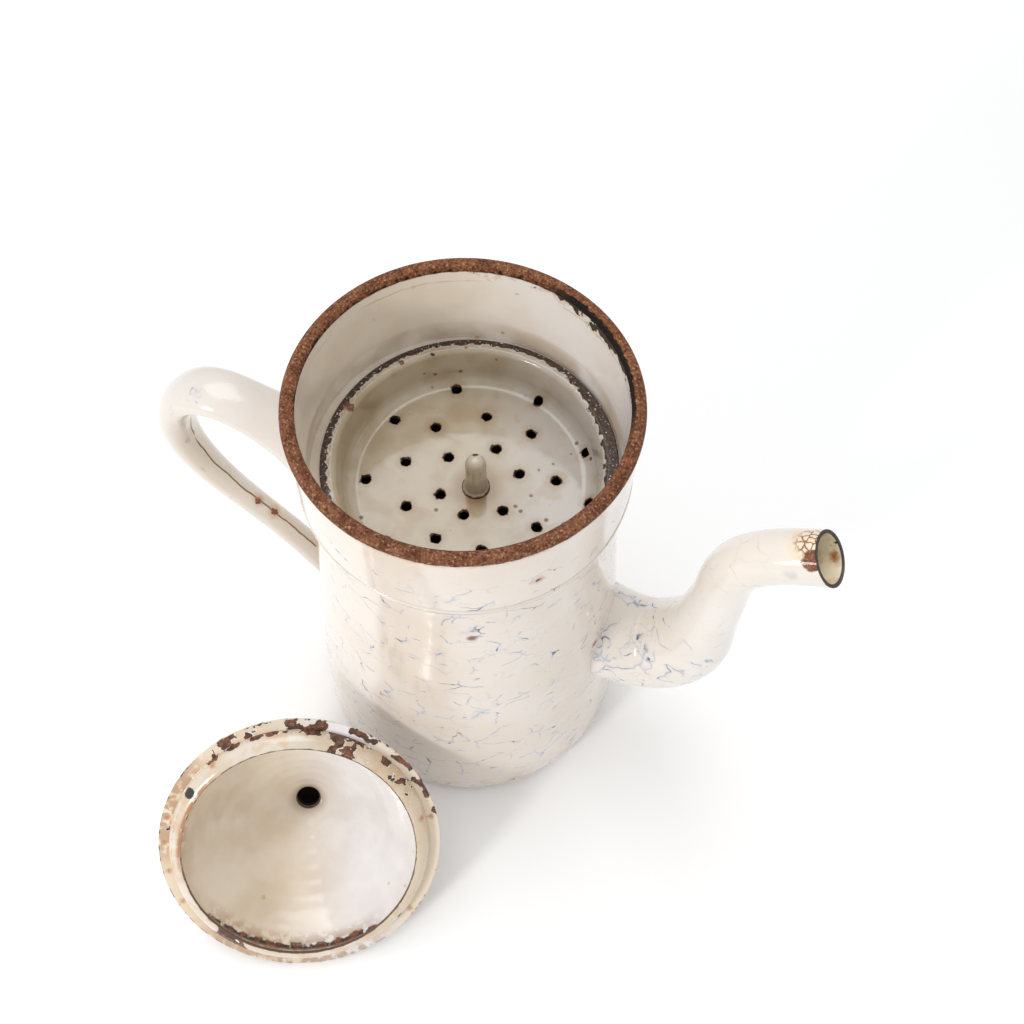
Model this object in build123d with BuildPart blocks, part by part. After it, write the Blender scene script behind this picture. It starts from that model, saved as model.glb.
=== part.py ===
"""Enamelled drip coffee pot with a lift-out strainer and a loose conical lid.

Units are millimetres. The pot stands on Z = 0 with its axis on Z, the spout points along +X and
the handle along -X. The lid lies upside down in front of the pot, resting on its brim and knob.
"""
from build123d import *
import math
import os

os.makedirs("parts", exist_ok=True)

# ---------------------------------------------------------------- driving dimensions
SHEET = 1.2                  # enamelled steel sheet of the pot
LID_SHEET = 1.0              # sheet of the lid and the strainer

POT_HEIGHT = 204.0           # base to the crown of the rim
RIM_OUTER_R = 55.0           # rolled rim, outside radius
RIM_BEAD_R = 2.3             # radius of the rolled bead's section

BASE_R = 62.9                # wall radius just above the rounded base
BASE_ROUND = 7.0             # rounding of the base edge
BASE_JOINT_Z = 8.5           # where the base meets the wall
NECK_R = 51.5                # outside radius of the wall under the sleeve
NECK_Z = 158.0               # height where the wall becomes straight

SLEEVE_R = 54.3              # outside radius of the collar sleeve
SLEEVE_BEAD_Z = 168.0        # double bead line near its lower edge
SLEEVE_FOOT_Z = 162.2        # lowest point of its turned-in edge

MOUTH_R = 50.8               # inside radius of the mouth
SEAT_R = 50.3                # inside radius just above the strainer's seat
LEDGE_Z = 167.2              # seat that the strainer rests on
LEDGE_R = 46.7               # inner edge of the seat

STRAINER_X, STRAINER_Y = 1.3, 0.5   # the loose strainer rests a little off the pot's axis
FLANGE_R = 48.6              # strainer flange, outside radius
FLANGE_GAP = 0.15            # flange above its seat
DISH_R = 43.4                # inside radius of the dish wall at the flange
DISH_TAPER = 0.9             # how much narrower the wall is at the floor
SHOULDER_ROUND = 2.0         # rounding between the flange and the wall
FLOOR_DEPTH = 14.8           # flange top to dish floor
FLOOR_ROUND = 5.0            # rounding between the floor and the wall
HOLE_R = 1.65                # strainer hole
HOLE_EDGE_ROUND = 0.4        # soft enamelled edge of each hole
PATTERN_X, PATTERN_Y = 2.6, 1.4     # middle of the hole pattern, off the middle of the dish
HOLE_RINGS = (               # ring radius and the angles of its holes, punched by hand
    (13.9, (29, 83, 156, 220, 267, 323)),
    (26.0, (18, 64, 102, 143, 181, 220, 255, 290, 335)),
    (38.0, (4, 34, 75, 120, 158, 197, 235, 276, 320)),
)
STUD_X, STUD_Y = 2.4, -1.2   # knob of the strainer, off the middle of the dish
STUD_HEIGHT = 18.0           # strainer knob above the dish floor
STUD_R = 3.5                 # its shaft
STUD_FOOT_R = 4.7            # its foot

BRIM_R = 53.2                # lid brim
PLUG_R = 49.2                # lid collar where it meets the brim
PLUG_EDGE_R = 43.9           # lid collar at its open edge
PLUG_DEPTH = 6.0             # brim to the collar's open edge
CONE_HEIGHT = 35.8           # brim to the hole at the point of the cone
CONE_HOLE_R = 4.6            # hole at the point of the cone, open into the hollow knob
NECK_SEAT_Z = 36.4           # flat ring round the hole that the knob's neck stands on
NECK_OUTER_R = 5.6           # neck of the knob
LID_KNOB_R = 8.0             # ball of the lid knob
LID_KNOB_Z = 43.6            # centre of the ball above the brim
LID_X, LID_Y = -32.4, -109.2   # middle of the brim as the lid lies
LID_FACING = -66.8           # direction the open side faces, degrees from +X


# ---------------------------------------------------------------- wall and base of the pot
RIM_Z = POT_HEIGHT - RIM_BEAD_R          # centre of the rolled bead
WALL_TOP = RIM_Z - 0.5                   # sheet edges end inside the bead
WALL_OUTLINE = ((BASE_R, BASE_JOINT_Z), (61.2, 40), (57.5, 80), (53.9, 120), (NECK_R, NECK_Z))
WALL_END_SLOPES = ((-0.03, 1), (0, 1))


def wall_curve(inset):
    """Outer line of the tapered wall, moved inwards by inset."""
    points = [(r - inset, z) for r, z in WALL_OUTLINE]
    return Spline(*points, tangents=WALL_END_SLOPES)


with BuildPart() as closed_wall:
    with BuildSketch(Plane.XZ):
        with BuildLine():
            wall_curve(0)
            Polyline(
                (NECK_R, NECK_Z), (NECK_R, 169), (MOUTH_R + SHEET, 174.5),
                (MOUTH_R + SHEET, WALL_TOP), (MOUTH_R, WALL_TOP), (MOUTH_R, 174),
                (SEAT_R, 169.5), (SEAT_R, LEDGE_Z), (LEDGE_R, LEDGE_Z),
                (LEDGE_R, LEDGE_Z - SHEET), (NECK_R - SHEET, 161), (NECK_R - SHEET, NECK_Z),
            )
            wall_curve(SHEET)
            Line((BASE_R - SHEET, BASE_JOINT_Z), (BASE_R, BASE_JOINT_Z))
        make_face()
    revolve(axis=Axis.Z)

with BuildPart() as pot_bottom:
    flat_r = BASE_R - BASE_ROUND
    with BuildSketch(Plane.XZ):
        with BuildLine():
            Polyline((0, SHEET), (0, 0), (flat_r, 0))
            RadiusArc((flat_r, 0), (BASE_R, BASE_ROUND), -BASE_ROUND)
            Polyline((BASE_R, BASE_ROUND), (BASE_R, BASE_JOINT_Z),
                     (BASE_R - SHEET, BASE_JOINT_Z), (BASE_R - SHEET, BASE_ROUND))
            RadiusArc((BASE_R - SHEET, BASE_ROUND), (flat_r, SHEET), BASE_ROUND - SHEET)
            Line((flat_r, SHEET), (0, SHEET))
        make_face()
    revolve(axis=Axis.Z)

# ---------------------------------------------------------------- collar sleeve and rim
with BuildPart() as collar_sleeve:
    bead_z = SLEEVE_BEAD_Z
    with BuildSketch(Plane.XZ):
        with BuildLine():
            Polyline((SLEEVE_R - SHEET, bead_z), (SLEEVE_R - SHEET, WALL_TOP),
                     (SLEEVE_R, WALL_TOP), (SLEEVE_R, bead_z + 1.5))
            ThreePointArc((SLEEVE_R, bead_z + 1.5), (SLEEVE_R + 0.3, bead_z + 1), (SLEEVE_R, bead_z + 0.5))
            ThreePointArc((SLEEVE_R, bead_z + 0.5), (SLEEVE_R + 0.2, bead_z),
                          (SLEEVE_R - 0.2, bead_z - 0.5))
            Spline((SLEEVE_R - 0.2, bead_z - 0.5), (53.3, 164.2), (NECK_R, SLEEVE_FOOT_Z),
                   tangents=((-0.1, -1), (-1, -0.2)))
            Line((NECK_R, SLEEVE_FOOT_Z), (NECK_R, SLEEVE_FOOT_Z + SHEET))
            Spline((NECK_R, SLEEVE_FOOT_Z + SHEET), (52.6, 164.9), (SLEEVE_R - SHEET, bead_z),
                   tangents=((1, 0.3), (0.05, 1)))
        make_face()
    revolve(axis=Axis.Z)

with BuildPart() as rim_hoop:
    bead_centre_r = RIM_OUTER_R - RIM_BEAD_R
    slot_inner = bead_centre_r - RIM_BEAD_R - 1
    with BuildSketch(Plane.XZ):
        with Locations((bead_centre_r, RIM_Z)):
            Circle(RIM_BEAD_R)
        with Locations((slot_inner, WALL_TOP - 5)):
            Rectangle(SLEEVE_R - slot_inner, 5, align=(Align.MIN, Align.MIN), mode=Mode.SUBTRACT)
    revolve(axis=Axis.Z)

# ---------------------------------------------------------------- outside envelope of the pot
# The solid that the spout and the handle are fitted against.
with BuildPart() as envelope:
    with BuildSketch(Plane.XZ):
        with BuildLine():
            wall_curve(0)
            Polyline((NECK_R, NECK_Z), (NECK_R, SLEEVE_FOOT_Z))
            Spline((NECK_R, SLEEVE_FOOT_Z), (53.3, 164.2), (SLEEVE_R - 0.2, SLEEVE_BEAD_Z - 0.5),
                   tangents=((1, 0.2), (0.1, 1)))
            Polyline((SLEEVE_R - 0.2, SLEEVE_BEAD_Z - 0.5), (SLEEVE_R + 0.35, SLEEVE_BEAD_Z),
                     (SLEEVE_R + 0.35, WALL_TOP), (0, WALL_TOP), (0, BASE_JOINT_Z), (BASE_R, BASE_JOINT_Z))
        make_face()
    revolve(axis=Axis.Z)


def tube(knots, inset):
    """Solid tube through knots of x, z, half width and half depth, its section shrunk by inset."""
    with BuildLine(Plane.XZ) as line:
        Spline(*[(x, z) for x, z, _, _ in knots])
    path = line.edge()
    sections = []
    for x, z, half_width, half_depth in knots:
        across = Plane(origin=(x, 0, z), x_dir=(0, 1, 0), z_dir=path % path.param_at_point((x, 0, z)))
        with BuildSketch(across) as section:
            Ellipse(half_width - inset, half_depth - inset)
        sections.append(section.sketch.face())
    return loft(sections)


# ---------------------------------------------------------------- spout
SPOUT_KNOTS = (
    (45, 71.5, 19.2, 19.2), (58, 68.2, 18.7, 18.7), (73.3, 68, 17.9, 17.9), (85, 78.5, 16.9, 16.9),
    (90.2, 96.1, 13.4, 13.4), (91.8, 115.3, 10.5, 10.5), (92.3, 131.8, 9.6, 9.6),
    (97.2, 154, 9.2, 9.2), (108.4, 164.1, 9.1, 9.1), (118, 168.9, 9.1, 9.1), (128.2, 173.6, 9.3, 9.3),
)
LIP_X, LIP_Z = 119.4, 169.6          # middle of the slanted mouth of the spout
LIP_SLANT = 49                       # direction it faces, degrees from straight up
lip_plane = Plane(origin=(LIP_X, 0, LIP_Z),
                  z_dir=(math.sin(math.radians(LIP_SLANT)), 0, math.cos(math.radians(LIP_SLANT))))

with BuildPart() as spout_bore:
    add(tube(SPOUT_KNOTS, SHEET))

with BuildPart() as spout:
    add(tube(SPOUT_KNOTS, 0))
    add(spout_bore.part, mode=Mode.SUBTRACT)
    add(envelope.part, mode=Mode.SUBTRACT)
    split(bisect_by=lip_plane, keep=Keep.BOTTOM)

with BuildPart() as pot_wall:
    add(closed_wall.part)
    add(spout_bore.part, mode=Mode.SUBTRACT)

# ---------------------------------------------------------------- handle
HANDLE_KNOTS = (
    (-47, 145.6, 20, 11), (-54, 151, 15.5, 8.2), (-63, 156.6, 12, 6.3), (-78, 164.3, 9.7, 5.8),
    (-87.2, 166.6, 9.5, 5.8), (-95.2, 164.9, 9.5, 5.8), (-107.5, 147.7, 8.7, 5.8),
    (-105.5, 118.2, 6.7, 5.8), (-90.5, 94.6, 5.3, 5.7), (-72.7, 71.2, 5.3, 5.6), (-55, 46, 5.4, 5.6),
)

with BuildPart() as handle:
    add(tube(HANDLE_KNOTS, 0))
    add(tube(HANDLE_KNOTS, LID_SHEET), mode=Mode.SUBTRACT)
    add(envelope.part, mode=Mode.SUBTRACT)

# ---------------------------------------------------------------- strainer
FLANGE_Z = LEDGE_Z + FLANGE_GAP                  # underside of the flange
FLOOR_Z = FLANGE_Z + LID_SHEET - FLOOR_DEPTH     # top of the dish floor

strainer_axis = Axis((STRAINER_X, STRAINER_Y, 0), (0, 0, 1))
strainer_section = Plane(origin=(STRAINER_X, STRAINER_Y, 0), x_dir=(1, 0, 0), z_dir=(0, -1, 0))

with BuildPart() as strainer_dish:
    flange_top = FLANGE_Z + LID_SHEET
    under = FLOOR_Z - LID_SHEET
    floor_r = DISH_R - DISH_TAPER
    flat_r = floor_r - FLOOR_ROUND
    shoulder_r = DISH_R + SHOULDER_ROUND
    with BuildSketch(strainer_section):
        with BuildLine():
            Polyline((0, under), (0, FLOOR_Z), (flat_r, FLOOR_Z))
            RadiusArc((flat_r, FLOOR_Z), (floor_r, FLOOR_Z + FLOOR_ROUND), -FLOOR_ROUND)
            Line((floor_r, FLOOR_Z + FLOOR_ROUND), (DISH_R, flange_top - SHOULDER_ROUND))
            RadiusArc((DISH_R, flange_top - SHOULDER_ROUND), (shoulder_r, flange_top), SHOULDER_ROUND)
            Polyline((shoulder_r, flange_top), (FLANGE_R - 0.4, flange_top), (FLANGE_R, flange_top - 0.4),
                     (FLANGE_R, FLANGE_Z), (shoulder_r, FLANGE_Z))
            RadiusArc((shoulder_r, FLANGE_Z), (DISH_R + LID_SHEET, FLANGE_Z - LID_SHEET), -LID_SHEET)
            Line((DISH_R + LID_SHEET, FLANGE_Z - LID_SHEET), (floor_r + LID_SHEET, FLOOR_Z + FLOOR_ROUND))
            RadiusArc((floor_r + LID_SHEET, FLOOR_Z + FLOOR_ROUND), (flat_r, under),
                      FLOOR_ROUND + LID_SHEET)
            Line((flat_r, under), (0, under))
        make_face()
    revolve(axis=strainer_axis)
    with BuildSketch(Plane.XY.offset(FLOOR_Z)):
        for ring_r, angles in HOLE_RINGS:
            for angle in angles:
                across = STRAINER_X + PATTERN_X + ring_r * math.cos(math.radians(angle))
                along = STRAINER_Y + PATTERN_Y + ring_r * math.sin(math.radians(angle))
                with Locations((across, along)):
                    Circle(HOLE_R)
    extrude(amount=2 * LID_SHEET, both=True, mode=Mode.SUBTRACT)
    hole_edges = strainer_dish.edges().filter_by(GeomType.CIRCLE)
    hole_edges = hole_edges.filter_by(lambda edge: edge.radius < 1.1 * HOLE_R)
    fillet(hole_edges.filter_by_position(Axis.Z, FLOOR_Z - 0.01, FLOOR_Z + 0.01), HOLE_EDGE_ROUND)

stud_x, stud_y = STRAINER_X + STUD_X, STRAINER_Y + STUD_Y
with BuildPart() as strainer_knob:
    crown = FLOOR_Z + STUD_HEIGHT
    with BuildSketch(Plane(origin=(stud_x, stud_y, 0), x_dir=(1, 0, 0), z_dir=(0, -1, 0))):
        with BuildLine():
            Polyline((0, crown), (0, FLOOR_Z), (STUD_FOOT_R, FLOOR_Z), (STUD_FOOT_R, FLOOR_Z + 0.7),
                     (STUD_R + 0.3, FLOOR_Z + 1.5), (STUD_R, crown - STUD_R - 1))
            Spline((STUD_R, crown - STUD_R - 1), (0, crown), tangents=((0, 1), (-1, 0)))
        make_face()
    revolve(axis=Axis((stud_x, stud_y, 0), (0, 0, 1)))

# ---------------------------------------------------------------- lid
# The lid is drawn as it sits in use, brim underside on Z = 0 and knob up, and is then laid on its
# brim and knob. The tilt brings the lowest points of the brim and of the knob both to Z = 0.
lever = LID_KNOB_Z - LID_SHEET
lid_tilt = math.asin(LID_KNOB_R / math.hypot(BRIM_R, lever)) + math.atan2(lever, BRIM_R)
lid_height = BRIM_R * math.sin(lid_tilt) + LID_SHEET * math.cos(lid_tilt)
facing = math.radians(LID_FACING)
knob_direction = (
    -math.sin(lid_tilt) * math.cos(facing),
    -math.sin(lid_tilt) * math.sin(facing),
    -math.cos(lid_tilt),
)
lid_plane = Plane(origin=(LID_X, LID_Y, lid_height), x_dir=(-math.sin(facing), math.cos(facing), 0),
                  z_dir=knob_direction)
lid_section = Plane(origin=lid_plane.origin, x_dir=lid_plane.x_dir, z_dir=-lid_plane.y_dir)
lid_axis = Axis(lid_plane.origin, lid_plane.z_dir)

CONE_LINE = ((46.5, 1.6), (43.0, 6.2), (31.5, 16.5), (18.0, 26.5))
CONE_LIFT = 1.25             # height between the inner and the outer slope of the cone


with BuildPart() as lid_cone:
    with BuildSketch(lid_section):
        with BuildLine():
            inner = Spline(*CONE_LINE, (CONE_HOLE_R, CONE_HEIGHT))
            outer = Spline(*[(r, z + CONE_LIFT) for r, z in CONE_LINE], (NECK_OUTER_R, NECK_SEAT_Z))
            Polyline(inner @ 1, (CONE_HOLE_R, NECK_SEAT_Z), outer @ 1)
            Polyline(inner @ 0, (47.0, 0), (BRIM_R, 0), (BRIM_R, LID_SHEET), (48.4, LID_SHEET), outer @ 0)
        make_face()
    revolve(axis=lid_axis)

with BuildPart() as lid_collar:
    with BuildSketch(lid_section):
        with BuildLine():
            ThreePointArc((PLUG_R, 0), (PLUG_R - 1.2, -3.9), (PLUG_EDGE_R, -PLUG_DEPTH))
            Line((PLUG_EDGE_R, -PLUG_DEPTH), (PLUG_EDGE_R, -PLUG_DEPTH + LID_SHEET))
            ThreePointArc((PLUG_EDGE_R, -PLUG_DEPTH + LID_SHEET), (PLUG_R - 2.1, -3.3), (PLUG_R - 1, 0))
            Line((PLUG_R - 1, 0), (PLUG_R, 0))
        make_face()
    revolve(axis=lid_axis)

with BuildPart() as lid_knob:
    shell_r = LID_KNOB_R - LID_SHEET
    ball_foot = LID_KNOB_Z - math.sqrt(LID_KNOB_R**2 - NECK_OUTER_R**2)
    shell_foot = LID_KNOB_Z - math.sqrt(shell_r**2 - CONE_HOLE_R**2)
    with BuildSketch(lid_section):
        with BuildLine():
            Polyline((CONE_HOLE_R, shell_foot), (CONE_HOLE_R, NECK_SEAT_Z), (NECK_OUTER_R, NECK_SEAT_Z),
                     (NECK_OUTER_R, ball_foot))
            ThreePointArc((NECK_OUTER_R, ball_foot), (LID_KNOB_R, LID_KNOB_Z), (0, LID_KNOB_Z + LID_KNOB_R))
            Line((0, LID_KNOB_Z + LID_KNOB_R), (0, LID_KNOB_Z + shell_r))
            ThreePointArc((0, LID_KNOB_Z + shell_r), (shell_r, LID_KNOB_Z), (CONE_HOLE_R, shell_foot))
        make_face()
    revolve(axis=lid_axis)

# ---------------------------------------------------------------- written pieces
pot_wall.part.label = "pot_wall"
export_step(pot_wall.part, "parts/pot_wall.step")
pot_bottom.part.label = "pot_bottom"
export_step(pot_bottom.part, "parts/pot_bottom.step")
collar_sleeve.part.label = "collar_sleeve"
export_step(collar_sleeve.part, "parts/collar_sleeve.step")
rim_hoop.part.label = "rim_hoop"
export_step(rim_hoop.part, "parts/rim_hoop.step")
spout.part.label = "spout"
export_step(spout.part, "parts/spout.step")
handle.part.label = "handle"
export_step(handle.part, "parts/handle.step")
strainer_dish.part.label = "strainer_dish"
export_step(strainer_dish.part, "parts/strainer_dish.step")
strainer_knob.part.label = "strainer_knob"
export_step(strainer_knob.part, "parts/strainer_knob.step")
lid_cone.part.label = "lid_cone"
export_step(lid_cone.part, "parts/lid_cone.step")
lid_collar.part.label = "lid_collar"
export_step(lid_collar.part, "parts/lid_collar.step")
lid_knob.part.label = "lid_knob"
export_step(lid_knob.part, "parts/lid_knob.step")
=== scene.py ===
"""Looks of the enamelled drip coffee pot: worn cream enamel, rusted rim, strainer and loose lid."""
import bpy
from math import cos, radians, sin
from mathutils import Matrix, Vector

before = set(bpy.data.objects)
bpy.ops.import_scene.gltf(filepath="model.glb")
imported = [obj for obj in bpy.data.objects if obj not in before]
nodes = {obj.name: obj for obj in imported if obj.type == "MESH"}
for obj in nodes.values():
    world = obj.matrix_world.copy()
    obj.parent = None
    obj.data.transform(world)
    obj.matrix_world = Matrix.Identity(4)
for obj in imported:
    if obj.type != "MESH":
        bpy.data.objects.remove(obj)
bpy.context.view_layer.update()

# ---------------------------------------------------------------- camera
CAMERA_PLACE = Vector((0.0666, -0.1830, 0.4878))
CAMERA_RIGHT = Vector((0.9546, 0.2973, 0.0186))
CAMERA_UP = Vector((-0.2693, 0.8345, 0.4807))
LENS_MM = 40.43
SENSOR_MM = 36.0
CLIP_START = 0.01


def add_camera():
    """Camera looking steeply down over the front of the pot."""
    right = CAMERA_RIGHT.normalized()
    back = right.cross(CAMERA_UP).normalized()
    up = back.cross(right)
    camera = bpy.data.objects.new("camera", bpy.data.cameras.new("camera"))
    bpy.context.scene.collection.objects.link(camera)
    turn = Matrix((right, up, back)).transposed().to_4x4()
    camera.matrix_world = Matrix.Translation(CAMERA_PLACE) @ turn
    camera.data.lens = LENS_MM
    camera.data.sensor_width = SENSOR_MM
    camera.data.clip_start = CLIP_START
    bpy.context.scene.camera = camera


# ---------------------------------------------------------------- material tools
MM_PER_METRE = 1000
# how far, in millimetres, each step of a seed moves a pattern
NOISE_STEP = (61.3, -27.9, 43.7)
WARP_STEP = (17.7, 31.1, -12.3)
SPECK_STEP = (9.1, 5.3, 7.7)


def tone(red, green, blue):
    """Linear colour from sRGB display values of 0 to 255."""
    linear = [c / 255 / 12.92 if c <= 10 else ((c / 255 + 0.055) / 1.055) ** 2.4
              for c in (red, green, blue)]
    return (*linear, 1.0)


class Finish:
    """One surface finish. Places and sizes are in millimetres of the shared frame.

    A mask runs from 0 to 1. Each finish sets colour, rough and height before it covers anything with
    more of them.
    """

    def __init__(self, name):
        self.material = bpy.data.materials.new(name)
        self.material.use_nodes = True
        self.tree = self.material.node_tree
        self.shader = self.tree.nodes["Principled BSDF"]
        coordinates = self.add("ShaderNodeTexCoord")
        self.place = self.vector("MULTIPLY", coordinates.outputs["Object"], (MM_PER_METRE,) * 3)
        self.normal = coordinates.outputs["Normal"]
        self.colour = self.rough = self.height = None

    def add(self, kind, **settings):
        node = self.tree.nodes.new(kind)
        for key, value in settings.items():
            setattr(node, key, value)
        return node

    def feed(self, socket, value):
        """Links a socket's value, or sets it when it is a constant."""
        if isinstance(value, bpy.types.NodeSocket):
            self.tree.links.new(value, socket)
        else:
            socket.default_value = value

    def math(self, operation, first, second=0.0):
        node = self.add("ShaderNodeMath", operation=operation)
        self.feed(node.inputs[0], first)
        self.feed(node.inputs[1], second)
        return node.outputs[0]

    def plus(self, first, second, share):
        """first and a share of second."""
        return self.math("ADD", first, self.math("MULTIPLY", second, share))

    def opposite(self, mask):
        return self.math("SUBTRACT", 1.0, mask)

    def vector(self, operation, first, second=(0, 0, 0)):
        node = self.add("ShaderNodeVectorMath", operation=operation)
        self.feed(node.inputs[0], first)
        self.feed(node.inputs[1], second)
        return node.outputs["Value" if operation in ("DOT_PRODUCT", "DISTANCE", "LENGTH") else "Vector"]

    def spread(self, value):
        """Vector with the same value three times."""
        node = self.add("ShaderNodeCombineXYZ")
        for socket in node.inputs:
            self.feed(socket, value)
        return node.outputs[0]

    def mix(self, mask, first, second):
        """Colour between first and second; a Mix node keeps its colours in sockets 6 and 7."""
        node = self.add("ShaderNodeMix", data_type="RGBA")
        self.feed(node.inputs[0], mask)
        self.feed(node.inputs[6], first)
        self.feed(node.inputs[7], second)
        return node.outputs[2]

    def blend(self, mask, first, second):
        """Number between first and second."""
        node = self.add("ShaderNodeMix", data_type="FLOAT")
        self.feed(node.inputs[0], mask)
        self.feed(node.inputs[2], first)
        self.feed(node.inputs[3], second)
        return node.outputs[0]

    def rise(self, value, low, high):
        """0 at low and 1 at high, smoothly; low may be the larger one."""
        node = self.add("ShaderNodeMapRange", interpolation_type="SMOOTHSTEP")
        self.feed(node.inputs["Value"], value)
        node.inputs["From Min"].default_value = low
        node.inputs["From Max"].default_value = high
        return node.outputs["Result"]

    def shifted(self, place, step, seed):
        return self.vector("ADD", place, tuple(seed * part for part in step))

    def noise(self, size, seed=0.0, detail=3.0, stretch=(1, 1, 1)):
        """Cloudy noise of lumps about size across."""
        moved = self.shifted(self.vector("MULTIPLY", self.place, stretch), NOISE_STEP, seed)
        node = self.add("ShaderNodeTexNoise")
        self.feed(node.inputs["Vector"], moved)
        node.inputs["Scale"].default_value = 1.0 / size
        node.inputs["Detail"].default_value = detail
        return node.outputs["Fac"]

    def warped(self, amount, size, seed=0.0):
        """The place, shaken sideways by up to about amount."""
        moved = self.shifted(self.place, WARP_STEP, seed)
        node = self.add("ShaderNodeTexNoise")
        self.feed(node.inputs["Vector"], moved)
        node.inputs["Scale"].default_value = 1.0 / size
        node.inputs["Detail"].default_value = 2.0
        shake = self.vector("SUBTRACT", node.outputs["Color"], (0.5, 0.5, 0.5))
        return self.vector("ADD", self.place, self.vector("MULTIPLY", shake, (amount * 2,) * 3))

    def cells(self, place, size, feature="DISTANCE_TO_EDGE", stretch=(1, 1, 1)):
        """Distance in a cell pattern, in millimetres."""
        node = self.add("ShaderNodeTexVoronoi", feature=feature)
        self.feed(node.inputs["Vector"], self.vector("MULTIPLY", place, stretch))
        node.inputs["Scale"].default_value = 1.0 / size
        return self.math("MULTIPLY", node.outputs["Distance"], size)

    def all_of(self, *masks):
        result = masks[0]
        for mask in masks[1:]:
            result = self.math("MULTIPLY", result, mask)
        return result

    def any_of(self, *masks):
        result = masks[0]
        for mask in masks[1:]:
            result = self.math("MAXIMUM", result, mask)
        return result

    def band(self, value, low, high, soft):
        """1 between low and high, with edges twice soft wide."""
        return self.all_of(
            self.rise(value, low - soft, low + soft), self.rise(value, high + soft, high - soft))

    def spot(self, centre, radius, ragged=0.5, lump=2.0, seed=0.0):
        """Round blot with a torn edge."""
        distance = self.vector("DISTANCE", self.warped(radius * ragged, lump, seed), centre)
        return self.rise(distance, radius, radius * 0.75)

    def stain(self, centre, radius, seed=0.0):
        """Cloud that fades out from a centre."""
        distance = self.vector("DISTANCE", self.warped(radius * 0.5, radius * 0.6, seed), centre)
        return self.rise(distance, radius, radius * 0.1)

    def cover(self, mask, colour, rough=None, height=None):
        """Lays a colour over what is there; height is in millimetres, 0 being sound enamel."""
        self.colour = self.mix(mask, self.colour, colour)
        if rough is not None:
            self.rough = self.blend(mask, self.rough, rough)
        if height is not None:
            self.height = self.blend(mask, self.height, height)

    def tint(self, mask, share, colour, rough=None, height=None):
        """Covers with only a share of the mask."""
        self.cover(self.math("MULTIPLY", mask, share), colour, rough, height)

    def done(self, bump=1.0):
        bump_node = self.add("ShaderNodeBump")
        bump_node.inputs["Strength"].default_value = bump
        bump_node.inputs["Distance"].default_value = 1 / MM_PER_METRE
        self.feed(bump_node.inputs["Height"], self.height)
        self.feed(self.shader.inputs["Base Color"], self.colour)
        self.feed(self.shader.inputs["Roughness"], self.rough)
        self.tree.links.new(bump_node.outputs["Normal"], self.shader.inputs["Normal"])
        return self.material


class Ring:
    """Round coordinates about an axis: radius, height along it, and arcs by angle in degrees."""

    def __init__(self, finish, centre, right=(1, 0, 0), ahead=(0, 1, 0), axis=(0, 0, 1)):
        self.finish = finish
        offset = finish.vector("SUBTRACT", finish.place, tuple(centre))
        self.x = finish.vector("DOT_PRODUCT", offset, tuple(right))
        self.y = finish.vector("DOT_PRODUCT", offset, tuple(ahead))
        self.height = finish.vector("DOT_PRODUCT", offset, tuple(axis))
        lift = finish.vector("MULTIPLY", tuple(axis), finish.spread(self.height))
        flat = finish.vector("SUBTRACT", offset, lift)
        self.radius = finish.vector("LENGTH", flat)
        self.outward = finish.vector("NORMALIZE", flat)
        self.right = Vector(right)
        self.ahead = Vector(ahead)
        self.axis = tuple(axis)

    def arc(self, middle, half, soft=10):
        """1 within half degrees of middle."""
        toward = self.right * cos(radians(middle)) + self.ahead * sin(radians(middle))
        along = self.finish.vector("DOT_PRODUCT", self.outward, tuple(toward))
        edge, full = min(half + soft, 180), max(half - soft, 0)
        return self.finish.rise(along, cos(radians(edge)), cos(radians(full)))

    def facing_out(self):
        outwards = self.finish.vector("DOT_PRODUCT", self.finish.normal, self.outward)
        return self.finish.rise(outwards, -0.1, 0.1)

    def facing_up(self, low=-0.1, high=0.1):
        upwards = self.finish.vector("DOT_PRODUCT", self.finish.normal, self.axis)
        return self.finish.rise(upwards, low, high)


# ---------------------------------------------------------------- shared finishes
CREAM = tone(226, 217, 208)
IVORY = tone(221, 209, 195)
GROUND_WHITE = tone(228, 220, 206)
VEIN_PALE = tone(176, 182, 198)
VEIN_BLUE = tone(104, 118, 158)
VEIN_DARK = tone(64, 74, 116)
CHIP_BLACK = tone(34, 24, 20)
CHIP_BROWN = tone(66, 44, 32)
RUST_BROWN = tone(104, 64, 42)
RUST_RED = tone(128, 78, 52)
RUST_ORANGE = tone(178, 112, 62)
OCHRE = tone(202, 160, 104)
COFFEE = tone(150, 124, 96)
STAIN_TAN = tone(206, 170, 124)
WORN_WHITE = tone(206, 198, 186)


def rust_colour(finish, grain=0.8):
    """Mottled rust, dark to orange."""
    mottle = finish.noise(grain * 4, seed=3.1, detail=4)
    speck = finish.noise(grain, seed=5.7, detail=3)
    body = finish.mix(finish.rise(mottle, 0.38, 0.62), RUST_BROWN, RUST_RED)
    body = finish.mix(finish.rise(speck, 0.55, 0.7), body, RUST_ORANGE)
    return finish.mix(finish.rise(speck, 0.42, 0.32), body, CHIP_BROWN)


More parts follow.
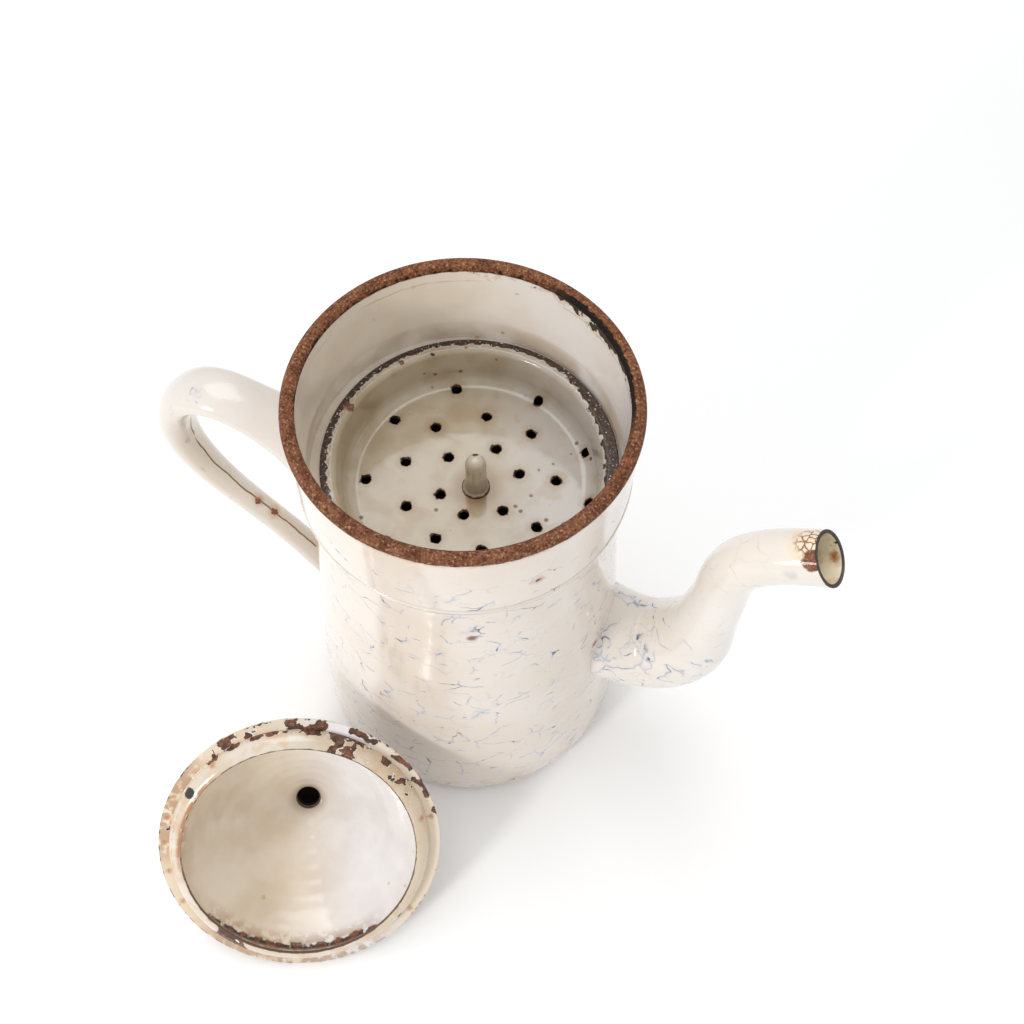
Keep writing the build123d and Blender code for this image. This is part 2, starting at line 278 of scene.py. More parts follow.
def enamel(finish, light=CREAM, warm=IVORY, lump=40):
    """Glossy fired enamel: cloudy colour, faint orange peel and wipe marks."""
    clouds = finish.noise(lump, seed=1.3, detail=2)
    finish.colour = finish.mix(finish.rise(clouds, 0.35, 0.65), light, warm)
    wear = finish.noise(9, seed=7.9, detail=4)
    finish.rough = finish.blend(finish.rise(wear, 0.4, 0.7), 0.1, 0.24)
    peel = finish.math("MULTIPLY", finish.noise(3.0, seed=2.2, detail=1), 0.05)
    finish.height = finish.plus(peel, finish.noise(14, seed=4.4, detail=1), 0.14)
    finish.shader.inputs["Coat Weight"].default_value = 0.4
    finish.shader.inputs["Coat Roughness"].default_value = 0.06


def veins(finish, where, amount=0.5):
    """Broken net of fine blue-grey lines with darker knots where they meet."""
    place = finish.warped(4.0, 9.0, seed=1.9)
    wide = finish.cells(place, 13.0, stretch=(1, 1, 1.35))
    small = finish.cells(finish.warped(2.0, 4.0, seed=4.9), 6.0, stretch=(1, 1, 1.2))
    breaks = finish.noise(8, seed=8.8, detail=2)
    shown = finish.rise(breaks, 0.62 - 0.25 * amount, 0.70 - 0.25 * amount)
    thick = finish.noise(5, seed=6.1, detail=2)
    line = finish.all_of(finish.rise(wide, 0.30, 0.08), shown, where)
    halo = finish.all_of(finish.rise(wide, 1.3, 0.2), shown, where)
    patches = finish.rise(finish.noise(11, seed=9.4), 0.52, 0.6)
    fine = finish.all_of(finish.rise(small, 0.24, 0.06), patches, where)
    finish.tint(halo, 0.22, VEIN_PALE)
    finish.tint(fine, 0.4, VEIN_PALE)
    finish.tint(line, 0.75, finish.mix(finish.rise(thick, 0.45, 0.6), VEIN_PALE, VEIN_BLUE))
    knots = finish.all_of(line, finish.rise(thick, 0.56, 0.66))
    finish.cover(knots, VEIN_DARK)


def chips(finish, field, level, edge=GROUND_WHITE, inside=None, lip=0.05):
    """Enamel broken off where a field passes a level: white broken edge, then dark bare steel."""
    finish.cover(finish.rise(field, level - lip, level - lip * 0.3), edge, rough=0.45)
    gone = finish.rise(field, level - 0.008, level + 0.012)
    bare = inside if inside is not None else finish.mix(finish.noise(1.2, seed=2.9), CHIP_BLACK, CHIP_BROWN)
    grain = finish.math("MULTIPLY", finish.noise(0.7, seed=1.1, detail=3), 0.25)
    grain = finish.math("SUBTRACT", grain, 0.45)
    finish.cover(gone, bare, rough=0.7, height=grain)


def specks(finish, where, size, share, colour, seed):
    """Scattered small dots."""
    dots = finish.cells(finish.shifted(finish.place, SPECK_STEP, seed), size, feature="F1")
    clusters = finish.noise(size * 2.5, seed=seed, detail=1)
    chosen = finish.rise(clusters, 0.62 - 0.2 * share, 0.66 - 0.2 * share)
    finish.cover(finish.all_of(finish.rise(dots, size * 0.16, size * 0.08), chosen, where), colour, rough=0.5)


# ---------------------------------------------------------------- pot
def pot_wall_finish():
    finish = Finish("pot_wall_enamel")
    enamel(finish)
    ring = Ring(finish, (0, 0, 0))
    outside = ring.facing_out()
    inside = finish.opposite(outside)
    veins(finish, outside, 0.54)
    patches = finish.rise(finish.noise(7, seed=3.8), 0.45, 0.62)
    foot = finish.all_of(outside, finish.rise(ring.height, 22, 8), patches)
    finish.tint(foot, 0.35, OCHRE)
    specks(finish, outside, 17, 0.3, RUST_RED, 2.3)
    # inner wall: grey white, with painted warm light on the handle side and painted cool light on the spout
    # side, stained lower down
    clouds = finish.noise(22, seed=5.5, detail=3)
    inner = finish.mix(finish.rise(clouds, 0.35, 0.65), tone(246, 242, 236), tone(238, 229, 217))
    finish.cover(inside, inner, rough=0.2)
    # painted warm light: handle side of the inner wall tinted as if lit by the warm room
    warm = finish.all_of(inside, ring.arc(180, 70, 50))
    finish.tint(warm, 0.4, tone(232, 212, 180))
    # painted cool light: spout side of the inner wall tinted as if lit by cool daylight
    cool = finish.all_of(inside, ring.arc(30, 45, 35))
    finish.tint(cool, 0.4, tone(232, 232, 238))
    seat_band = finish.all_of(inside, finish.rise(ring.height, 176.5, 172.5), finish.rise(clouds, 0.25, 0.6))
    finish.tint(seat_band, 0.7, tone(186, 166, 138))
    tide = finish.plus(ring.height, finish.noise(10, seed=6.6), 2.4)
    tide_line = finish.all_of(inside, finish.band(tide, 197.6, 198.0, 0.35), finish.rise(clouds, 0.42, 0.55))
    finish.tint(tide_line, 0.5, tone(150, 112, 76))
    specks(finish, inside, 7, 0.35, OCHRE, 4.1)
    below = finish.all_of(inside, finish.rise(ring.height, 160, 148))
    finish.cover(below, finish.mix(finish.rise(clouds, 0.35, 0.65), tone(190, 168, 138), COFFEE), rough=0.4)
    # broken enamel under the rim, worst at the spout's side
    torn = finish.noise(3.2, seed=7.7, detail=4)
    depth = finish.rise(ring.height, 193.5, 201.5)
    worst = finish.any_of(ring.arc(42, 34, 14), finish.math("MULTIPLY", ring.arc(115, 30, 20), 0.3), 0.1)
    field = finish.plus(torn, finish.all_of(depth, worst), 0.40)
    rust = rust_colour(finish)
    near_chip = finish.all_of(inside, finish.rise(field, 0.66, 0.76), finish.rise(ring.height, 190, 196))
    finish.tint(near_chip, 0.35, OCHRE)
    chips(finish, finish.math("MULTIPLY", field, inside), 0.80)
    rusty_lip = finish.all_of(
        inside, finish.band(ring.height, 200.6, 201.4, 0.3), finish.rise(torn, 0.4, 0.5))
    finish.cover(rusty_lip, rust, rough=0.8)
    return finish.done()


def pot_bottom_finish():
    finish = Finish("pot_bottom_enamel")
    enamel(finish)
    ring = Ring(finish, (0, 0, 0))
    outside = finish.any_of(ring.facing_out(), ring.facing_up(0.1, -0.1))
    veins(finish, outside, 0.5)
    worn = finish.noise(5, seed=9.9, detail=4)
    edge = finish.all_of(ring.facing_up(-0.7, -0.9), finish.band(ring.radius, 50, 61, 4))
    chips(finish, finish.plus(worn, edge, 0.2), 0.70)
    scratches = finish.noise(6, seed=4.6, detail=4, stretch=(0.25, 1.6, 1))
    under = finish.all_of(ring.facing_up(-0.7, -0.9), finish.rise(scratches, 0.55, 0.66))
    finish.tint(under, 0.6, tone(128, 120, 116), rough=0.4)
    inside = finish.opposite(outside)
    finish.cover(inside, finish.mix(finish.rise(worn, 0.35, 0.65), COFFEE, tone(112, 88, 64)), rough=0.45)
    return finish.done()


def collar_sleeve_finish():
    finish = Finish("collar_sleeve_enamel")
    enamel(finish)
    ring = Ring(finish, (0, 0, 0))
    veins(finish, finish.rise(ring.height, 193, 176), 0.5)
    bead = finish.all_of(
        finish.band(ring.height, 166.1, 166.5, 0.35), finish.rise(finish.noise(6, seed=2.7), 0.38, 0.5))
    finish.tint(bead, 0.75, tone(140, 112, 88), rough=0.5)
    above = finish.all_of(
        finish.band(ring.height, 169.7, 170.0, 0.3), finish.rise(finish.noise(7, seed=6.2), 0.42, 0.55))
    finish.tint(above, 0.45, tone(170, 150, 128))
    under_rim = finish.all_of(
        finish.rise(ring.height, 197.5, 200.5), finish.rise(finish.noise(2.5, seed=5.1), 0.4, 0.6))
    finish.tint(under_rim, 0.5, tone(176, 128, 90), rough=0.5)
    rust = rust_colour(finish)
    blot = (36.2, -40.4, 181.6)
    finish.tint(finish.stain(blot, 3.6, 1.2), 0.7, RUST_ORANGE)
    finish.cover(finish.spot(blot, 1.0, 0.8, 1.0, 2.4), CHIP_BROWN, rough=0.7, height=-0.3)
    finish.cover(finish.spot((40.0, -36.6, 183.4), 0.6, 0.8, 1.0, 3.3), rust, rough=0.7)
    specks(finish, 1.0, 15, 0.3, RUST_ORANGE, 3.7)
    return finish.done()


def rim_finish():
    """Bare rolled edge: pitted red-brown rust, streaks of orange, a thin black line inside."""
    finish = Finish("rim_rust")
    finish.shader.inputs["Specular IOR Level"].default_value = 0.25
    ring = Ring(finish, (0, 0, 0))
    mottle = finish.noise(3.0, seed=1.7, detail=5)
    grains = finish.noise(0.8, seed=2.8, detail=4)
    finish.colour = finish.mix(finish.rise(mottle, 0.36, 0.62), tone(106, 62, 38), tone(138, 90, 62))
    sides = finish.any_of(ring.arc(150, 60, 30), ring.arc(30, 50, 25))
    orange = finish.all_of(sides, finish.rise(finish.noise(2.2, seed=6.3, detail=3), 0.45, 0.62))
    finish.tint(orange, 0.55, tone(142, 84, 40))
    # light specks: partly pale rust grains, partly painted glints
    finish.tint(finish.rise(grains, 0.57, 0.66), 0.6, tone(182, 144, 118))
    finish.tint(finish.rise(grains, 0.46, 0.36), 0.85, tone(62, 34, 22))
    lanes = finish.plus(ring.radius, finish.noise(6, seed=9.7), 1.2)
    streaks = finish.all_of(
        sides, finish.band(lanes, 53.3, 53.6, 0.35), finish.rise(finish.noise(4, seed=3.5), 0.4, 0.55))
    finish.tint(streaks, 0.6, tone(58, 34, 22))
    inner = finish.plus(ring.radius, finish.noise(2.0, seed=7.1, detail=4), 2.0)
    finish.cover(finish.rise(inner, 51.5, 51.2), tone(38, 25, 18))
    jag = finish.all_of(ring.arc(40, 34, 10), finish.rise(inner, 52.6, 52.2))
    finish.cover(jag, tone(26, 19, 17))
    outer = finish.all_of(finish.rise(ring.height, 201.9, 201.2), ring.facing_out())
    drips = finish.all_of(outer, finish.rise(finish.noise(3, seed=8.3), 0.42, 0.52))
    finish.cover(drips, tone(206, 190, 172))
    finish.rough = finish.blend(finish.rise(grains, 0.4, 0.6), 0.66, 0.85)
    pits = finish.math("MULTIPLY", finish.rise(grains, 0.34, 0.62), 0.3)
    finish.height = finish.plus(pits, mottle, 0.35)
    return finish.done(bump=0.9)


# ---------------------------------------------------------------- spout and handle
LIP_CENTRE = (119.4, 0.0, 169.6)     # middle of the slanted mouth
LIP_RISE = 41                        # direction it faces, degrees above level
SPOUT_END_LINE = Vector((0.897, 0, 0.442))     # direction of the tube at the mouth
BROKEN_PATCH = (112.0, 0.4, 175.6)   # crazed enamel on the crown of the mouth
BARE_PATCH = (113.6, -5.2, 174.2)    # enamel gone beside it


def spout_finish():
    finish = Finish("spout_enamel")
    enamel(finish, light=tone(232, 227, 221), warm=tone(228, 220, 210))
    ring = Ring(finish, (0, 0, 0))
    low = finish.any_of(finish.rise(ring.height, 118, 96), 0.12)
    veins(finish, low, 0.62)
    # distance back from the slanted mouth
    slant = Vector((cos(radians(LIP_RISE)), 0, sin(radians(LIP_RISE))))
    behind = finish.vector("DOT_PRODUCT", finish.vector("SUBTRACT", LIP_CENTRE, finish.place), tuple(slant))
    rust = rust_colour(finish, 0.6)
    torn = finish.noise(2.0, seed=4.8, detail=4)
    near = finish.plus(behind, torn, 4.0)
    side = finish.vector("DISTANCE", finish.warped(1.5, 2.5, 3.2), BROKEN_PATCH)
    broken = finish.rise(side, 6.4, 3.4)
    finish.tint(finish.rise(side, 9.5, 5.5), 0.5, tone(236, 210, 170))
    flakes = finish.cells(finish.warped(0.9, 1.4, 5.5), 2.3)
    cracks = finish.all_of(finish.rise(flakes, 0.30, 0.08), broken)
    finish.cover(cracks, tone(158, 100, 54), rough=0.6, height=-0.2)
    bare = finish.vector("DISTANCE", finish.warped(1.0, 1.6, 6.4), BARE_PATCH)
    pitted = finish.math("SUBTRACT", finish.math("MULTIPLY", torn, 0.4), 0.4)
    finish.cover(finish.rise(bare, 3.7, 2.9), rust, rough=0.8, height=pitted)
    finish.tint(finish.stain((109, -8.4, 167.7), 3.2, 2.0), 0.5, tone(176, 186, 192))
    finish.cover(finish.rise(near, 2.0, 1.7), CHIP_BLACK, rough=0.85, height=-0.15)
    finish.cover(finish.rise(behind, 0.25, 0.05), CHIP_BLACK, rough=0.85)
    spout_inside(finish, behind)
    return finish.done()


def spout_inside(finish, behind):
    """Tube's inner skin near the mouth: there the surface faces the tube's middle line."""
    offset = finish.vector("SUBTRACT", finish.place, LIP_CENTRE)
    along = finish.vector("DOT_PRODUCT", offset, tuple(SPOUT_END_LINE))
    on_line = finish.vector("MULTIPLY", finish.spread(along), tuple(SPOUT_END_LINE))
    off_line = finish.vector("NORMALIZE", finish.vector("SUBTRACT", offset, on_line))
    facing = finish.vector("DOT_PRODUCT", finish.normal, off_line)
    inner = finish.all_of(finish.rise(facing, -0.2, -0.5), finish.rise(behind, 32, 24))
    clouds = finish.rise(finish.noise(4, seed=2.1), 0.4, 0.65)
    finish.cover(inner, finish.mix(clouds, tone(238, 224, 196), tone(216, 196, 160)), rough=0.35)
    dots = finish.any_of(
        finish.spot((120.4, 7.2, 167.4), 0.8, 0.7, 0.8, 1.0),
        finish.spot((119.4, 7.4, 165.4), 0.55, 0.7, 0.8, 2.0),
        finish.spot((122.6, 4.4, 164.6), 0.45, 0.7, 0.8, 3.0),
        finish.spot((124.2, -2.0, 162.8), 0.5, 0.7, 0.8, 4.0))
    finish.cover(finish.all_of(inner, dots), CHIP_BROWN, rough=0.6)
    star = finish.stain((121.6, 4.6, 163.4), 2.6, 4.0)
    finish.cover(finish.all_of(inner, star), tone(160, 92, 40), rough=0.6)
    finish.cover(finish.all_of(inner, finish.rise(behind, 0.6, 0.2)), CHIP_BLACK, rough=0.7)


HANDLE_HOLLOW = (-62, -1.2, 118)       # middle of the loop that the bar runs round
HANDLE_BLOTS = ((-84.5, -1.6, 97.5), (-79.6, -1.2, 90.5))


def handle_finish():
    finish = Finish("handle_enamel")
    enamel(finish, light=tone(222, 217, 211), warm=tone(216, 208, 199))
    veins(finish, 0.3, 0.12)
    rust = rust_colour(finish, 0.6)
    ring = Ring(finish, HANDLE_HOLLOW, right=(1, 0, 0), ahead=(0, 0, 1), axis=(0, 1, 0))
    hollow_side = finish.rise(finish.vector("DOT_PRODUCT", finish.normal, ring.outward), 0.1, -0.5)
    wander = finish.math("SUBTRACT", finish.noise(9, seed=1.2), 0.5)
    sideways = finish.math("ABSOLUTE", finish.plus(ring.height, wander, 1.6))
    shaded = finish.all_of(hollow_side, finish.rise(finish.noise(16, seed=3.9), 0.3, 0.6))
    finish.tint(shaded, 0.5, tone(214, 198, 174))
    level = finish.vector("DOT_PRODUCT", finish.place, (0, 0, 1))
    seam_zone = finish.all_of(hollow_side, finish.rise(level, 152, 142))
    breaks = finish.rise(finish.noise(7, seed=5.3), 0.36, 0.46)
    finish.cover(finish.all_of(seam_zone, finish.rise(sideways, 1.1, 0.3)), tone(222, 208, 186), height=0.25)
    crack = finish.all_of(seam_zone, breaks, finish.rise(sideways, 0.36, 0.12))
    finish.cover(crack, tone(142, 108, 78), rough=0.6, height=-0.3)
    blots = finish.any_of(
        finish.spot(HANDLE_BLOTS[0], 1.9, 0.9, 1.6, 1.0),
        finish.spot(HANDLE_BLOTS[1], 1.6, 0.9, 1.6, 2.0),
        finish.spot((-92.5, -1.8, 108.0), 0.8, 0.8, 1.2, 3.0),
        finish.spot((-98.0, -1.5, 118.0), 0.7, 0.8, 1.2, 4.0))
    halos = finish.any_of(finish.stain(HANDLE_BLOTS[0], 4.0, 1.0), finish.stain(HANDLE_BLOTS[1], 4.5, 2.0))
    finish.tint(halos, 0.7, tone(196, 140, 84))
    finish.cover(blots, rust, rough=0.75, height=-0.25)
    specks(finish, 1.0, 14, 0.3, tone(150, 132, 112), 1.4)
    return finish.done()


# ---------------------------------------------------------------- strainer
DISH_CENTRE = (1.3, 0.5, 0.0)
STUD_CENTRE = (3.7, -0.7)
PATTERN_CENTRE = (3.9, 1.9)
HOLE_RINGS = (               # ring radius and the angles of its holes, as in the CAD
    (13.9, (29, 83, 156, 220, 267, 323)),
    (26.0, (18, 64, 102, 143, 181, 220, 255, 290, 335)),
    (38.0, (4, 34, 75, 120, 158, 197, 235, 276, 320)),
)
FLOOR_TOP_Z = 153.55


def strainer_finish():
    finish = Finish("strainer_enamel")
    enamel(finish, light=tone(188, 175, 153), warm=tone(171, 153, 125), lump=18)
    ring = Ring(finish, DISH_CENTRE)
    cool = finish.all_of(ring.arc(20, 60, 40), finish.rise(ring.radius, 4, 30))
    finish.tint(cool, 0.65, tone(190, 186, 183))
    clouds = finish.noise(9, seed=2.6, detail=4)
    finish.tint(finish.rise(clouds, 0.5, 0.68), 0.4, tone(170, 146, 112), rough=0.4)
    nearest = 1000.0         # further than any hole
    for radius, angles in HOLE_RINGS:
        for angle in angles:
            hole_x = PATTERN_CENTRE[0] + radius * cos(radians(angle))
            hole_y = PATTERN_CENTRE[1] + radius * sin(radians(angle))
            gap = finish.vector("DISTANCE", finish.place, (hole_x, hole_y, FLOOR_TOP_Z))
            nearest = finish.math("MINIMUM", nearest, gap)
    shaken = finish.plus(nearest, finish.math("SUBTRACT", finish.noise(1.6, seed=3.3), 0.5), 2.2)
    finish.tint(finish.rise(shaken, 5.0, 2.0), 0.4, tone(158, 126, 88))
    finish.cover(finish.rise(shaken, 2.1, 1.8), tone(58, 38, 24), rough=0.6, height=-0.15)
    foot = finish.vector("DISTANCE", finish.place, (*STUD_CENTRE, FLOOR_TOP_Z))
    finish.tint(finish.rise(foot, 11.0, 5.0), 0.75, tone(150, 116, 82))
    specks(finish, ring.facing_up(), 6, 0.45, tone(110, 80, 54), 5.2)
    # flange: enamel mostly gone, most of all toward the spout
    torn = finish.noise(2.6, seed=6.8, detail=4)
    reach = finish.plus(ring.radius, ring.arc(18, 32, 16), 2.2)
    reach = finish.plus(reach, finish.math("SUBTRACT", torn, 0.5), 4.2)
    upper = finish.rise(ring.height, 165.0, 166.2)
    finish.cover(finish.all_of(upper, finish.rise(reach, 45.6, 46.0)), WORN_WHITE, rough=0.3)
    bare = finish.mix(finish.rise(finish.noise(1.1, seed=8.1), 0.42, 0.6), tone(44, 28, 20), tone(80, 52, 34))
    finish.cover(finish.all_of(upper, finish.rise(reach, 46.1, 46.5)), bare, rough=0.7, height=-0.25)
    flecks = finish.rise(finish.noise(0.9, seed=9.2, detail=2), 0.63, 0.68)
    flecks = finish.all_of(upper, flecks, finish.rise(ring.radius, 45, 46))
    finish.cover(flecks, WORN_WHITE, rough=0.3)
    rust = rust_colour(finish, 0.6)
    finish.cover(finish.spot((-43.2, 7.7, 168.0), 2.0, 0.8, 1.6, 1.0), rust, rough=0.7)
    finish.cover(finish.spot((-33.0, 30.0, 168.0), 1.0, 0.9, 1.2, 2.0), rust, rough=0.7)
    finish.cover(finish.spot((-24.0, 36.5, 168.0), 0.8, 0.9, 1.2, 3.0), CHIP_BROWN, rough=0.7)
    under = ring.facing_up(-0.3, -0.6)
    finish.cover(under, finish.mix(finish.rise(clouds, 0.35, 0.6), tone(196, 178, 150), COFFEE), rough=0.4)
    return finish.done()


def knob_stud_finish():
    finish = Finish("strainer_stud_enamel")
    enamel(finish, light=tone(190, 180, 160), warm=tone(168, 152, 128), lump=10)
    ring = Ring(finish, (*STUD_CENTRE, 0))
    shade = finish.rise(ring.height, 164, 158)
    finish.tint(shade, 0.45, tone(126, 108, 88), rough=0.35)
    torn = finish.math("MULTIPLY", finish.math("SUBTRACT", finish.noise(1.4, seed=4.2, detail=3), 0.5), 1.4)
    foot = finish.math("ADD", ring.radius, torn)
    foot_edge = finish.all_of(finish.rise(ring.height, 155.6, 155.0), finish.rise(foot, 4.3, 4.6))
    finish.cover(foot_edge, tone(52, 32, 24), rough=0.6)
    crown_chip = finish.spot((2.9, 1.2, 170.8), 1.15, 0.7, 0.9, 1.5)
    finish.cover(crown_chip, tone(48, 32, 26), rough=0.6, height=-0.25)
    finish.cover(finish.spot((0.9, 0.4, 169.0), 0.6, 0.7, 0.9, 2.5), tone(70, 48, 36), rough=0.6, height=-0.2)
    return finish.done()


# ---------------------------------------------------------------- lid
LID_TILT = radians(45.2)
LID_FACING = radians(-66.8)
LID_AXIS = Vector((sin(LID_TILT) * cos(LID_FACING), sin(LID_TILT) * sin(LID_FACING), cos(LID_TILT)))
LID_RIGHT = Vector((-sin(LID_FACING), cos(LID_FACING), 0))
LID_AHEAD = LID_AXIS.cross(LID_RIGHT)
LID_CENTRE = Vector((-32.4, -109.2, 38.45))     # middle of the brim
LID_KNOB_HEIGHT = -43.6      # middle of the knob's ball along the axis


def lid_ring(finish):
    return Ring(finish, LID_CENTRE, LID_RIGHT, LID_AHEAD, LID_AXIS)


def lid_place(radius, angle, height):
    """Point of the lid from its own round coordinates, in millimetres."""
    flat = LID_RIGHT * cos(radians(angle)) + LID_AHEAD * sin(radians(angle))
    return tuple(LID_CENTRE + flat * radius + LID_AXIS * height)


def lid_cone_finish():
    finish = Finish("lid_cone_enamel")
    enamel(finish)
    ring = lid_ring(finish)
    hollow = ring.facing_up()
    outside = finish.opposite(hollow)
    veins(finish, outside, 0.5)
    # hollow side, seen when the lid lies on its crown; painted shade makes it warmer and darker toward
    # negative x, painted light makes it cooler and brighter toward positive x
    clouds = finish.noise(20, seed=3.4, detail=3)
    warm = finish.mix(finish.rise(clouds, 0.35, 0.65), tone(230, 215, 194), tone(220, 201, 174))
    cool = finish.mix(finish.rise(clouds, 0.35, 0.65), tone(236, 234, 234), tone(226, 222, 222))
    # painted light and shade: shaded warm copy and lit cool copy of the enamel blended across the hollow
    finish.cover(hollow, finish.mix(finish.rise(ring.x, -14, 22), warm, cool), rough=0.13)
    spun = finish.math("SINE", finish.math("MULTIPLY", ring.radius, 1.3))
    finish.height = finish.plus(finish.height, spun, 0.05)
    hole_edge = finish.all_of(hollow, finish.rise(ring.radius, 9.0, 4.8))
    finish.tint(hole_edge, 0.5, tone(150, 118, 84))
    finish.cover(finish.all_of(hollow, finish.rise(ring.radius, 5.3, 4.8)), tone(48, 32, 24), rough=0.6)
    specks(finish, hollow, 9, 0.25, OCHRE, 2.9)
    torn = finish.noise(3.0, seed=5.8, detail=4)
    rust = rust_colour(finish)
    rim_zone = finish.all_of(hollow, finish.rise(ring.radius, 42.5, 46.0))
    rusty_arcs = finish.any_of(ring.arc(155, 22, 10), finish.all_of(ring.arc(-100, 40, 14), 0.9))
    rusty_rim = finish.all_of(rim_zone, rusty_arcs, finish.rise(torn, 0.38, 0.52), 0.7)
    finish.cover(rusty_rim, tone(164, 122, 84), rough=0.5)
    reach = finish.plus(finish.plus(ring.radius, torn, 3.0), rusty_arcs, 1.3)
    joint = finish.all_of(hollow, finish.rise(reach, 48.5, 48.9), finish.rise(ring.radius, 47.3, 46.6))
    finish.cover(joint, finish.mix(finish.rise(torn, 0.45, 0.6), tone(52, 34, 26), rust), rough=0.7)
    # brim: rusted in the groove beside the collar, most at the far side
    brim = finish.all_of(hollow, finish.rise(ring.radius, 47.2, 48.0))
    outer_half = finish.rise(ring.radius, 49.5, 51.6)
    far_side = finish.any_of(ring.arc(96, 30, 8), finish.all_of(ring.arc(45, 34, 10), outer_half))
    lumps = finish.noise(6.0, seed=3.6, detail=3)
    field = finish.plus(finish.plus(lumps, torn, 0.3), far_side, 0.24)
    # painted shade: the brim tinted tan on the side turned away from the light
    brim_painted_shade = finish.all_of(brim, ring.arc(0, 52, 16))
    finish.tint(brim_painted_shade, 0.6, tone(222, 198, 156))
    bare = finish.mix(finish.rise(finish.noise(2.5, seed=7.2), 0.4, 0.6), CHIP_BROWN, rust)
    stained = finish.all_of(brim, finish.rise(field, 0.80, 0.92))
    finish.tint(stained, 0.5, STAIN_TAN)
    chips(finish, finish.math("MULTIPLY", field, brim), 0.90, inside=bare)
    for angle in (160, 172, -174, -158, -40, 8):
        finish.tint(finish.stain(lid_place(51, angle, 0.2), 1.8, angle / 50), 0.8, RUST_ORANGE, rough=0.5)
    edge = finish.all_of(finish.rise(ring.radius, 52.7, 53.1), finish.rise(torn, 0.52, 0.6))
    finish.cover(edge, CHIP_BROWN, rough=0.7)
    return finish.done()


def lid_collar_finish():
    finish = Finish("lid_collar_enamel")
    enamel(finish, light=tone(216, 207, 196), warm=tone(206, 191, 170), lump=16)
    ring = lid_ring(finish)
    # painted shade: the collar tinted tan on the side turned away from the light
    collar_painted_shade = ring.arc(-5, 50, 30)
    finish.tint(collar_painted_shade, 0.5, tone(214, 190, 152))
    torn = finish.noise(2.8, seed=1.6, detail=4)
    rust = rust_colour(finish)
    clouds = finish.rise(finish.noise(6, seed=8.6, detail=3), 0.5, 0.66)
    finish.tint(clouds, 0.4, OCHRE)
    streaks = finish.all_of(
        ring.arc(172, 14, 8), finish.band(ring.radius, 47.4, 47.9, 0.4), finish.rise(torn, 0.45, 0.55))
    finish.tint(streaks, 0.75, tone(190, 124, 70), rough=0.5)
    lumps = finish.noise(5.0, seed=3.6, detail=3)
    low_outer = finish.rise(ring.height, 4.4, 2.4)
    worst = finish.any_of(
        ring.arc(64, 7, 5),
        finish.all_of(ring.arc(96, 34, 8), low_outer),
        ring.arc(-131, 8, 5),
        finish.all_of(ring.arc(45, 20, 8), finish.rise(ring.height, 6.4, 5.4), 0.8))
    field = finish.plus(finish.plus(lumps, torn, 0.3), worst, 0.30)
    bare = finish.mix(finish.rise(finish.noise(2.2, seed=3.7), 0.42, 0.58), CHIP_BROWN, rust)
    finish.tint(finish.rise(field, 0.74, 0.86), 0.45, STAIN_TAN)
    chips(finish, field, 0.91, inside=bare)
    large_chip = finish.spot(lid_place(47.6, 142, 4.6), 2.6, 0.4, 3.0, 1.0)
    finish.cover(large_chip, tone(44, 34, 30), rough=0.7, height=-0.3)
    small_chip = finish.spot(lid_place(48.2, -43, 3.5), 1.5, 0.6, 2.0, 2.0)
    finish.cover(small_chip, CHIP_BROWN, rough=0.7, height=-0.3)
    finish.tint(finish.stain(lid_place(48.0, 11, 4.0), 2.4, 3.0), 0.8, RUST_ORANGE, rough=0.6)
    finish.tint(finish.stain(lid_place(48.4, 125, 3.8), 2.4, 5.0), 0.8, RUST_ORANGE, rough=0.6)
    edge_line = finish.rise(finish.plus(ring.radius, torn, 1.0), 44.95, 44.6)
    finish.cover(edge_line, tone(92, 66, 48), rough=0.7)
    rusty_edge = finish.all_of(
        ring.arc(155, 24, 10), finish.rise(ring.radius, 46.2, 44.8), finish.rise(torn, 0.4, 0.5))
    finish.cover(rusty_edge, tone(168, 118, 78), rough=0.6)
    return finish.done()


def lid_knob_finish():
    finish = Finish("lid_knob_enamel")
    enamel(finish)
    ring = lid_ring(finish)
    veins(finish, 1.0, 0.4)
    worn = finish.noise(3, seed=4.1, detail=4)
    chips(finish, worn, 0.69)
    from_middle = finish.vector("DISTANCE", finish.place, lid_place(0, 0, LID_KNOB_HEIGHT))
    hollow_ball = finish.rise(from_middle, 7.5, 7.2)
    hollow_neck = finish.all_of(finish.rise(ring.radius, 5.2, 4.9), finish.rise(ring.height, -38.5, -37.5))
    finish.cover(finish.any_of(hollow_ball, hollow_neck), tone(44, 32, 26), rough=0.8)
    return finish.done()


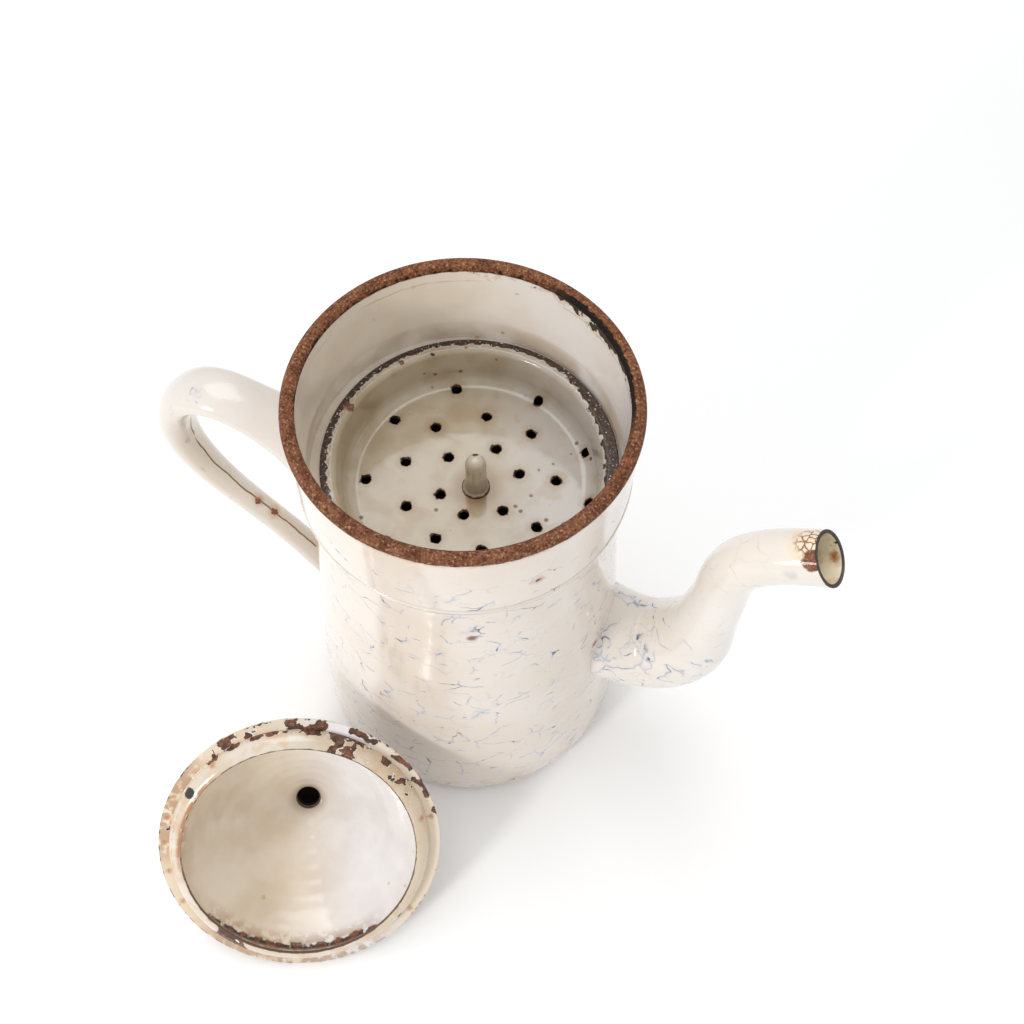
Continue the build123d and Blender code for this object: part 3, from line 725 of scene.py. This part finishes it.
# ---------------------------------------------------------------- stage
FLOOR_SIZE = 6
FLOOR_WHITE = (0.98, 0.98, 0.98, 1)
FLOOR_ROUGHNESS = 0.7
WORLD_STRENGTH = 0.74
LIT_POINT = (0, 0, 0.1)      # metres, what both lamps face


def add_floor():
    bpy.ops.mesh.primitive_plane_add(size=FLOOR_SIZE, location=(0, 0, 0))
    floor = bpy.context.object
    floor.name = "floor"
    material = bpy.data.materials.new("floor_white")
    material.use_nodes = True
    shader = material.node_tree.nodes["Principled BSDF"]
    shader.inputs["Base Color"].default_value = FLOOR_WHITE
    shader.inputs["Roughness"].default_value = FLOOR_ROUGHNESS
    floor.data.materials.append(material)


def add_world():
    world = bpy.data.worlds.new("studio")
    world.use_nodes = True
    background = world.node_tree.nodes["Background"]
    background.inputs["Color"].default_value = (1, 1, 1, 1)
    background.inputs["Strength"].default_value = WORLD_STRENGTH
    bpy.context.scene.world = world


def add_area(name, place, size, power, colour):
    """Soft rectangular light at place, facing the pot."""
    light = bpy.data.lights.new(name, "AREA")
    light.shape = "RECTANGLE"
    light.size, light.size_y = size
    light.energy = power
    light.color = colour
    lamp = bpy.data.objects.new(name, light)
    bpy.context.scene.collection.objects.link(lamp)
    lamp.location = place
    lamp.rotation_euler = (Vector(LIT_POINT) - Vector(place)).to_track_quat("-Z", "Y").to_euler()


add_camera()
add_floor()
add_world()
add_area("sky_light", place=(-0.26, 0.32, 1.42), size=(1.0, 1.0), power=7.5, colour=(0.96, 0.98, 1.0))
add_area("window", place=(-0.50, -0.98, 0.60), size=(0.20, 0.26), power=5, colour=(1.0, 0.97, 0.94))
bpy.context.scene.view_settings.view_transform = "Standard"

# ---------------------------------------------------------------- finishes on the pieces
finishes = {
    "pot_wall": pot_wall_finish(),
    "pot_bottom": pot_bottom_finish(),
    "collar_sleeve": collar_sleeve_finish(),
    "rim_hoop": rim_finish(),
    "spout": spout_finish(),
    "handle": handle_finish(),
    "strainer_dish": strainer_finish(),
    "strainer_knob": knob_stud_finish(),
    "lid_cone": lid_cone_finish(),
    "lid_collar": lid_collar_finish(),
    "lid_knob": lid_knob_finish(),
}
for name, material in finishes.items():
    nodes[name].data.materials.clear()
    nodes[name].data.materials.append(material)
